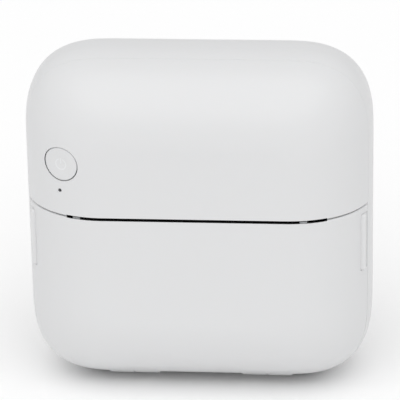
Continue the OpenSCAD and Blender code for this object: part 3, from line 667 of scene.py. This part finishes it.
MATERIALS = {
    "case_white": white_plastic(),
    "grey_plastic": material("grey_plastic", (0.40, 0.41, 0.42), rough=0.5, grain=700, grain_depth=0.03),
    "dark_plastic": material("dark_plastic", (0.018, 0.018, 0.02), rough=0.42, grain=900, vary=0.15),
    "ivory_plastic": material("ivory_plastic", (0.72, 0.68, 0.56), rough=0.33, grain=600, sub=0.05),
    "steel": material("steel", (0.56, 0.57, 0.58), rough=0.3, metallic=1.0, grain=420, stretch=(0.08, 1, 1),
                      grain_depth=0.02, vary=0.08, rough_vary=0.12),
    "aluminium": material("aluminium", (0.72, 0.73, 0.74), rough=0.36, metallic=1.0, grain=500,
                          stretch=(0.05, 1, 1), grain_depth=0.03, vary=0.05, rough_vary=0.1),
    "brass": material("brass", (0.70, 0.50, 0.20), rough=0.28, metallic=1.0, grain=700, vary=0.08),
    "rubber": material("rubber", (0.022, 0.022, 0.022), rough=0.78, grain=1100, grain_depth=0.06, vary=0.2,
                       spec=0.3),
    "paper": rolled_paper_material(),
    "card": material("card", (0.42, 0.29, 0.17), rough=0.85, grain=500, grain_depth=0.1, vary=0.15,
                     stretch=(3, 1, 1), spec=0.2),
    "circuit_board": circuit_board_material(),
    "ceramic": material("ceramic", (0.62, 0.60, 0.52), rough=0.2, grain=400, vary=0.05, coat=0.6),
    "flex": material("flex", (0.55, 0.22, 0.04), rough=0.25, grain=300, stretch=(9, 0.1, 0.1), vary=0.2,
                     coat=0.4),
    "foil": material("foil", (0.60, 0.61, 0.63), rough=0.3, metallic=0.9, grain=260, grain_depth=0.25,
                     vary=0.05),
    "wire_red": material("wire_red", (0.45, 0.015, 0.012), rough=0.4, grain=400, vary=0.1),
    "light_guide": material("light_guide", (0.05, 0.05, 0.055), rough=0.12, grain=300, transmission=0.35,
                            spec=0.6),
    "led": material("led", (0.82, 0.78, 0.5), rough=0.15, grain=300, transmission=0.2),
}


def dress(obj, slot_name):
    """Gives an object one material, that of its slot."""
    obj.data.materials.clear()
    obj.data.materials.append(MATERIALS[slot_name])
    return obj


def dress_frame():
    """Every carried-over CAD node takes the material of its slot."""
    slots = {s["node"]: s["material_slot"] for s in frame["record"]["subparts"]}
    for name, obj in frame["nodes"].items():
        dress(obj, slots[name])
        for p in obj.data.polygons:
            p.use_smooth = True
        obj.data.set_sharp_from_angle(angle=math.radians(28))


def place_piece(obj, body, node, slot_name):
    """A finished piece: it rides on its body and stands for a CAD node."""
    obj.name = node + "_form"
    obj.data.name = obj.name
    dress(obj, slot_name)
    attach(obj, body)
    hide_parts(node)
    return obj


# ---------- case pieces ----------

def shoulder_y(x):
    """Depth of the case's outer surface at x, where the shoulder's height has no say in it."""
    return -depth_at(math.acos(1 - (CASE_W / 2 - abs(x)) / ACROSS), 0)


def button_place():
    """Matrix whose +Z points forwards out of the case along the power button's axis, in millimetres."""
    spot = Matrix.Translation((BUTTON_X, shoulder_y(BUTTON_X), BUTTON_Z))
    return spot @ Matrix.Rotation(math.pi / 2, 4, "X")


def knuckles(ends, r, extra):
    """A bar on the hinge axis on each side of the middle, longer by extra at each end."""
    parts = []
    for a, b in ((ends[0] - extra, ends[1] + extra), (-ends[1] - extra, -ends[0] + extra)):
        parts.append(rod_x(a, b, HINGE_Y, HINGE_Z, r))
    return join("knuckles", parts)


def local_rod(place, x, y, z0, z1, r, sides=40):
    """A round bar along the axis of the power button."""
    return lathe([(0, z0), (r, z0), (r, z1), (0, z1)], place @ Matrix.Translation((x, y, 0)), sides)


def slot_block(low_z, high_z):
    """Everything in front of the slot's back, over the slot's width and between two heights."""
    return block((SLOT_LEFT, -FAR, low_z), (SLOT_RIGHT, SLOT_BACK_Y, high_z))


def front_shell():
    """Upper half of the front, with the holes for the power button and the status light."""
    split = -SPLIT_Y + SHELL_SEAM
    obj = front_piece("front_shell_form", split, SLOT_Z + LID_GAP / 2 - MID_Z, flip=False)
    place = button_place()
    bosses = [rod_y(x, -CASE_D / 2, SPLIT_Y - BOSS_GAP, z, FRONT_BOSS_R) for x, z in CASE_SCREWS]
    bosses.append(block((TEAR_RIB_X[0], -CASE_D / 2, SLOT_Z + TEAR_RIB_UP[0]),
                        (TEAR_RIB_X[1], TEAR_RIB_Y, SLOT_Z + TEAR_RIB_UP[1])))
    bosses += [local_rod(place, x, y, -SWITCH_BOARD_BACK, 0, SWITCH_POST_R) for x, y in SWITCH_POSTS]
    bosses.append(local_rod(place, *LED_AT, -LED_BOSS_LEN, 0, LED_BOSS_R))
    combine(obj, clipped(bosses), "UNION")
    combine(obj, local_rod(place, 0, 0, *BUTTON_HOLE, BUTTON_R + BUTTON_GAP, 96), "DIFFERENCE")
    combine(obj, local_rod(place, *LED_AT, *LED_HOLE, LED_HOLE_R), "DIFFERENCE")
    for x, y in SWITCH_POSTS:
        combine(obj, local_rod(place, x, y, *SWITCH_TAP, SWITCH_SCREW_R), "DIFFERENCE")
    for x, z in CASE_SCREWS:
        combine(obj, rod_y(x, -CASE_SCREW_HOLE, 0, z, CASE_SCREW_R), "DIFFERENCE")
    combine(obj, slot_block(SLOT_Z - 1, SLOT_Z + SLOT_OPEN / 2), "DIFFERENCE")
    return place_piece(shade(obj), "case", "front_shell", "case_white")


def paper_lid():
    """Lower half of the front, which swings down on its two knuckles."""
    split = -SPLIT_Y + LID_GAP
    obj = front_piece("paper_lid_form", split, -(SLOT_Z - LID_GAP / 2 - MID_Z), flip=True)
    bosses = [rod_y(x, -CASE_D / 2, LID_BOSS_Y, z, LID_BOSS_R) for x, z in LID_SCREWS]
    combine(obj, clipped(bosses), "UNION")
    combine(obj, knuckles(LID_KNUCKLE, KNUCKLE_R, 0), "UNION")
    for thick, down in ((LIP_T, 1.8), (LIP_EDGE_T, 0.9)):
        recess = slot_block(SLOT_Z - down, FAR)
        combine(obj, combine(recess, case_solid(thick), "INTERSECT"), "DIFFERENCE")
    combine(obj, slot_block(SLOT_Z - SLOT_OPEN / 2, FAR), "DIFFERENCE")
    for side in (-1, 1):
        low = (30 if side > 0 else -FAR, RELEASE_FRONT - RELEASE_GAP, RELEASE_LOW - RELEASE_GAP)
        high = (FAR if side > 0 else -30, SPLIT_Y, RELEASE_LOW + RELEASE_H + RELEASE_GAP)
        combine(obj, block(low, high), "DIFFERENCE")
    combine(obj, knuckles(BASE_KNUCKLE, KNUCKLE_R + LID_GAP, LID_GAP - SLIVER), "DIFFERENCE")
    combine(obj, rod_x(-PIN_BORE_X, PIN_BORE_X, HINGE_Y, HINGE_Z, HINGE_PIN_R + PIN_SLACK), "DIFFERENCE")
    for x, z in LID_SCREWS:
        combine(obj, rod_y(x, *LID_TAP_Y, z, SCREW_R), "DIFFERENCE")
    return place_piece(shade(obj), "lid", "paper_lid", "case_white")


def usb_mouth():
    """The socket's opening, flat-sided with round ends."""
    outside, inside = -CASE_W / 2 - 1, -CASE_W / 2 + USB_DEPTH
    middle = block((outside, USB_Y - USB_R, USB_Z - USB_HALF), (inside, USB_Y + USB_R, USB_Z + USB_HALF))
    for s in (-1, 1):
        combine(middle, rod_x(outside, inside, USB_Y, USB_Z + s * USB_HALF, USB_R), "UNION")
    return middle


def rear_shell():
    """Everything behind the split, with the bosses, the catches and the fixed halves of the hinge."""
    obj = back_piece("rear_shell_form", -SPLIT_Y)
    bosses = [rod_y(x, SPLIT_Y, CASE_D / 2, z, REAR_BOSS_R) for x, z in CASE_SCREWS]
    bosses += [rod_y(x, CHASSIS_BOSS_Y, CASE_D / 2, z, CHASSIS_BOSS_R) for x, z in CHASSIS_SCREWS]
    bosses += [rod_y(x, BOARD_BACK_Y, CASE_D / 2, z, BOARD_BOSS_R) for x, z in BOARD_SCREWS]
    for s in (-1, 1):
        low = (CATCH_X if s > 0 else -FAR, SPLIT_Y, RELEASE_LOW + CATCH_UP[0])
        high = (FAR if s > 0 else -CATCH_X, SPLIT_Y + CATCH_T, RELEASE_LOW + CATCH_UP[1])
        bosses.append(block(low, high))
    # Room for the lid's lower edge as it swings, cut before the knuckles go on
    for more, top in HINGE_RELIEFS:
        bar = rod_x(-HINGE_RELIEF_X, HINGE_RELIEF_X, HINGE_Y, HINGE_Z, KNUCKLE_R + more)
        combine(obj, combine(bar, block((-FAR, -FAR, -5), (FAR, FAR, top)), "INTERSECT"), "DIFFERENCE")
    combine(obj, clipped(bosses), "UNION")
    combine(obj, knuckles(BASE_KNUCKLE, KNUCKLE_R, 0), "UNION")
    for x, z in CASE_SCREWS:
        combine(obj, rod_y(x, SPLIT_Y - 1, CASE_D, z, CASE_SCREW_R + CASE_SCREW_SLACK), "DIFFERENCE")
        combine(obj, rod_y(x, 0, CASE_D, z, HEAD_WELL_R), "DIFFERENCE")
    for x, z in CHASSIS_SCREWS + BOARD_SCREWS:
        combine(obj, rod_y(x, 0, TAP_END_Y, z, SCREW_R), "DIFFERENCE")
    low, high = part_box("rubber_feet")
    for x in (low.x / MM + FOOT_R, high.x / MM - FOOT_R):
        for y in (low.y / MM + FOOT_R, high.y / MM - FOOT_R):
            combine(obj, rod((x, y, 0), (x, y, FOOT_H + FOOT_SINK), FOOT_R), "DIFFERENCE")
    combine(obj, knuckles(LID_KNUCKLE, KNUCKLE_R + LID_GAP, LID_GAP - SLIVER), "DIFFERENCE")
    pin_end = BASE_KNUCKLE[1] + 0.2
    combine(obj, rod_x(-pin_end, pin_end, HINGE_Y, HINGE_Z, HINGE_PIN_R), "DIFFERENCE")
    combine(obj, usb_mouth(), "DIFFERENCE")
    return place_piece(shade(obj), "case", "rear_shell", "case_white")


def power_button():
    """Key whose face follows the shoulder, with a rounded rim and a dish, and two ears behind the wall."""
    place = button_place()
    middle_y = shoulder_y(BUTTON_X)
    rim, sides = 0.38, 112
    flat = BUTTON_R - rim
    rings = [(flat * k / 14, 0.0) for k in range(1, 15)]
    for k in range(1, 9):
        a = math.pi / 2 * k / 8
        rings.append((flat + rim * math.sin(a), rim * (1 - math.cos(a))))

    def face(x, y, drop):
        r = math.hypot(x, y)
        dish = DISH_DEPTH * max(0.0, 1 - (r / DISH_EDGE) ** 2) ** 2
        return middle_y - shoulder_y(BUTTON_X + x) - BUTTON_SINK - dish - drop

    points = [place @ Vector((0, 0, face(0, 0, 0)))]
    faces = []
    for r, drop in rings + [(BUTTON_R, None)]:
        for i in range(sides):
            a = 2 * math.pi * i / sides
            x, y = r * math.cos(a), r * math.sin(a)
            height = BUTTON_BASE if drop is None else face(x, y, drop)
            points.append(place @ Vector((x, y, height)))
    for i in range(sides):
        faces.append((0, 1 + i, 1 + (i + 1) % sides))
    for k in range(len(rings)):
        for i in range(sides):
            a, b = 1 + k * sides + i, 1 + k * sides + (i + 1) % sides
            faces.append((a, a + sides, b + sides, b))
    faces.append(list(range(1 + len(rings) * sides, len(points))))
    obj = face_outwards(mesh_object("power_button_form", points, faces))
    ear_x, ear_y, ear_t = BUTTON_EAR
    middle = place @ Vector((0, 0, BUTTON_BASE))
    ears = block((middle.x - ear_x, middle.y - ear_t, middle.z - ear_y),
                 (middle.x + ear_x, middle.y, middle.z + ear_y))
    combine(obj, ears, "UNION")
    combine(obj, local_rod(place, 0, 0, -4.6, -4.2, 1.2), "UNION")
    place_piece(shade(obj, 40, follow_case=False), "power_key", "power_button", "case_white")
    obj.data.materials[0] = key_material()
    return obj


def release_button(side):
    """The bar on one side, its plate and its hook."""
    name = "release_button_right" if side > 0 else "release_button_left"
    edge, steps = 0.55, 8
    low = (RELEASE_INNER, RELEASE_FRONT, RELEASE_LOW)
    high = (RELEASE_FACE, RELEASE_BACK, RELEASE_LOW + RELEASE_H)
    # Outline seen from the side, drawn at the base and again round each step of the rounded face
    loops = [(low[0], 0.0)]
    for k in range(steps + 1):
        a = math.pi / 2 * k / steps
        loops.append((high[0] - edge + edge * math.sin(a), edge * (1 - math.cos(a))))
    points, faces = [], []
    for x, inset in loops:
        for turn, (cy, cz) in enumerate(((1, 1), (0, 1), (0, 0), (1, 0))):
            for i in range(steps + 1):
                a = math.pi / 2 * (turn + i / steps)
                y = (high[1] - edge if cy else low[1] + edge) + (edge - inset) * math.cos(a)
                z = (high[2] - edge if cz else low[2] + edge) + (edge - inset) * math.sin(a)
                points.append((side * x, y, z))
    m = 4 * (steps + 1)
    for k in range(len(loops) - 1):
        for i in range(m):
            j = (i + 1) % m
            faces.append((k * m + i, k * m + j, (k + 1) * m + j, (k + 1) * m + i))
    faces.append(tuple(range(m)))
    faces.append(tuple((len(loops) - 1) * m + i for i in range(m)))
    obj = face_outwards(mesh_object(name, points, faces))

    def side_block(low_corner, high_corner):
        (x0, y0, z0), (x1, y1, z1) = low_corner, high_corner
        return block((min(side * x0, side * x1), y0, z0), (max(side * x0, side * x1), y1, z1))

    plate = side_block((RELEASE_INNER, RELEASE_FRONT - PLATE_FRONT, RELEASE_LOW - PLATE_DOWN),
                       (RELEASE_INNER + PLATE_T, RELEASE_BACK, RELEASE_LOW + RELEASE_H + PLATE_UP))
    combine(plate, case_solid(WALL + PLATE_PLAY), "INTERSECT")
    combine(obj, plate, "UNION")
    hook_low, hook_high = (RELEASE_LOW + up for up in HOOK_UP)
    hook_end = SPLIT_Y + HOOK_BACK
    for reach, start in ((HOOK_ARM_X, RELEASE_BACK - SLIVER), (HOOK_NOSE_X, hook_end - NOSE_T)):
        hook = side_block((RELEASE_INNER, start, hook_low), (reach, hook_end, hook_high))
        combine(obj, hook, "UNION")
    combine(obj, rod((side * (RELEASE_INNER - 1.2), RELEASE_SPRING_Y, RELEASE_SPRING_Z),
                     (side * (RELEASE_INNER + 0.5), RELEASE_SPRING_Y, RELEASE_SPRING_Z),
                     RELEASE_SPRING_R - 0.4), "UNION")
    body = "release_right" if side > 0 else "release_left"
    return place_piece(shade(obj, 35, follow_case=False), body, name, "case_white")


# ---------- springs ----------

def coil(start, end, r, wire, turns):
    """A coil spring with flat, closed ends, from start to end."""
    a, b = Vector(start), Vector(end)
    length = (b - a).length
    place = Matrix.Translation(a) @ (b - a).to_track_quat("Z", "Y").to_matrix().to_4x4()
    per_turn, sides = 40, 10
    n = int(turns * per_turn)
    points, faces = [], []
    for i in range(n + 1):
        t = i / n
        # The first and last turns lie almost flat
        share = min(1.0, max(0.0, (t - 0.16) / 0.68))
        height = wire + (length - 2 * wire) * (0.1 * t + 0.9 * share * share * (3 - 2 * share))
        angle = 2 * math.pi * i / per_turn
        for k in range(sides):
            round_wire = 2 * math.pi * k / sides
            out = r + wire * math.cos(round_wire)
            up = height + wire * math.sin(round_wire)
            points.append(place @ Vector((out * math.cos(angle), out * math.sin(angle), up)))
    for i in range(n):
        for k in range(sides):
            m = (k + 1) % sides
            faces.append((i * sides + k, i * sides + m, (i + 1) * sides + m, (i + 1) * sides + k))
    faces += [tuple(range(sides)), tuple(n * sides + k for k in range(sides))]
    return face_outwards(mesh_object("coil", points, faces))


def springs():
    """Return springs of the release bars and of the print head."""
    for side, name in ((1, "release_spring_right"), (-1, "release_spring_left")):
        start = (side * RELEASE_POST, RELEASE_SPRING_Y, RELEASE_SPRING_Z)
        end = (side * RELEASE_INNER, RELEASE_SPRING_Y, RELEASE_SPRING_Z)
        obj = shade(coil(start, end, RELEASE_SPRING_R, RELEASE_WIRE_R, 5), 60, follow_case=False)
        place_piece(obj, "lid", name, "steel")
        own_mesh(obj)
    for name in ("head_spring_left", "head_spring_right"):
        low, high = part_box(name)
        x, y = (low.x + high.x) / 2 / MM, (low.y + high.y) / 2 / MM
        start, end = (x, y, high.z / MM), (x, y, low.z / MM)
        obj = shade(coil(start, end, HEAD_SPRING_R, HEAD_WIRE_R, 5), 60, follow_case=False)
        place_piece(obj, "case", name, "steel")
        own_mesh(obj)


# ---------- floor, light and camera ----------

def floor():
    """Pale floor just below the feet."""
    size, depth = 3.0, -0.0005
    points = [(-size, -size, depth), (size, -size, depth), (size, size, depth), (-size, size, depth)]
    mesh = bpy.data.meshes.new("floor")
    mesh.from_pydata(points, [], [(0, 1, 2, 3)])
    obj = bpy.data.objects.new("floor", mesh)
    bpy.context.scene.collection.objects.link(obj)
    mat = material("floor_paper", (0.97, 0.97, 0.97), rough=0.9, grain=60, vary=0.004, vary_scale=4, spec=0.1)
    obj.data.materials.append(mat)


def sun(name, towards, strength, spread_deg):
    """Soft light from far away, shining along a direction."""
    light = bpy.data.lights.new(name, "SUN")
    light.energy = strength
    light.angle = math.radians(spread_deg)
    obj = bpy.data.objects.new(name, light)
    obj.rotation_euler = Vector(towards).to_track_quat("-Z", "Y").to_euler()
    bpy.context.scene.collection.objects.link(obj)


def lights():
    """One soft key from above and in front, under an even white sky."""
    sun("key", towards=(-0.02, 0.62, -1.0), strength=1.36, spread_deg=70)
    world = bpy.data.worlds.new("studio")
    bpy.context.scene.world = world
    world.use_nodes = True
    sky = world.node_tree.nodes["Background"]
    sky.inputs["Color"].default_value = (1, 1, 1, 1)
    sky.inputs["Strength"].default_value = 0.66


def camera():
    """The viewpoint: a little to the right of the front and above it, through a long lens."""
    yaw, pitch, roll = math.radians(5.26), math.radians(22.40), math.radians(-1.07)
    distance, sensor, lens, shift = 0.682, 36.0, 256.95, (-0.00275, 0.01875)
    away = Vector((math.cos(pitch) * math.sin(yaw), -math.cos(pitch) * math.cos(yaw), math.sin(pitch)))
    right = (-away).cross(Vector((0, 0, 1))).normalized()
    up = right.cross(-away)
    right_rolled = math.cos(roll) * right + math.sin(roll) * up
    up_rolled = -math.sin(roll) * right + math.cos(roll) * up
    data = bpy.data.cameras.new("camera")
    data.sensor_width = sensor
    data.lens = lens
    data.shift_x, data.shift_y = shift
    data.clip_start, data.clip_end = 0.01, 20
    obj = bpy.data.objects.new("camera", data)
    spot = Vector((0, 0, MID_Z * MM)) + away * distance
    turn = Matrix((right_rolled, up_rolled, away)).transposed().to_4x4()
    obj.matrix_world = Matrix.Translation(spot) @ turn
    bpy.context.scene.collection.objects.link(obj)
    bpy.context.scene.camera = obj


bpy.context.scene.view_settings.view_transform = "Standard"

camera()
lights()
floor()
dress_frame()
front_shell()
paper_lid()
rear_shell()
power_button()
for side in (-1, 1):
    release_button(side)
springs()
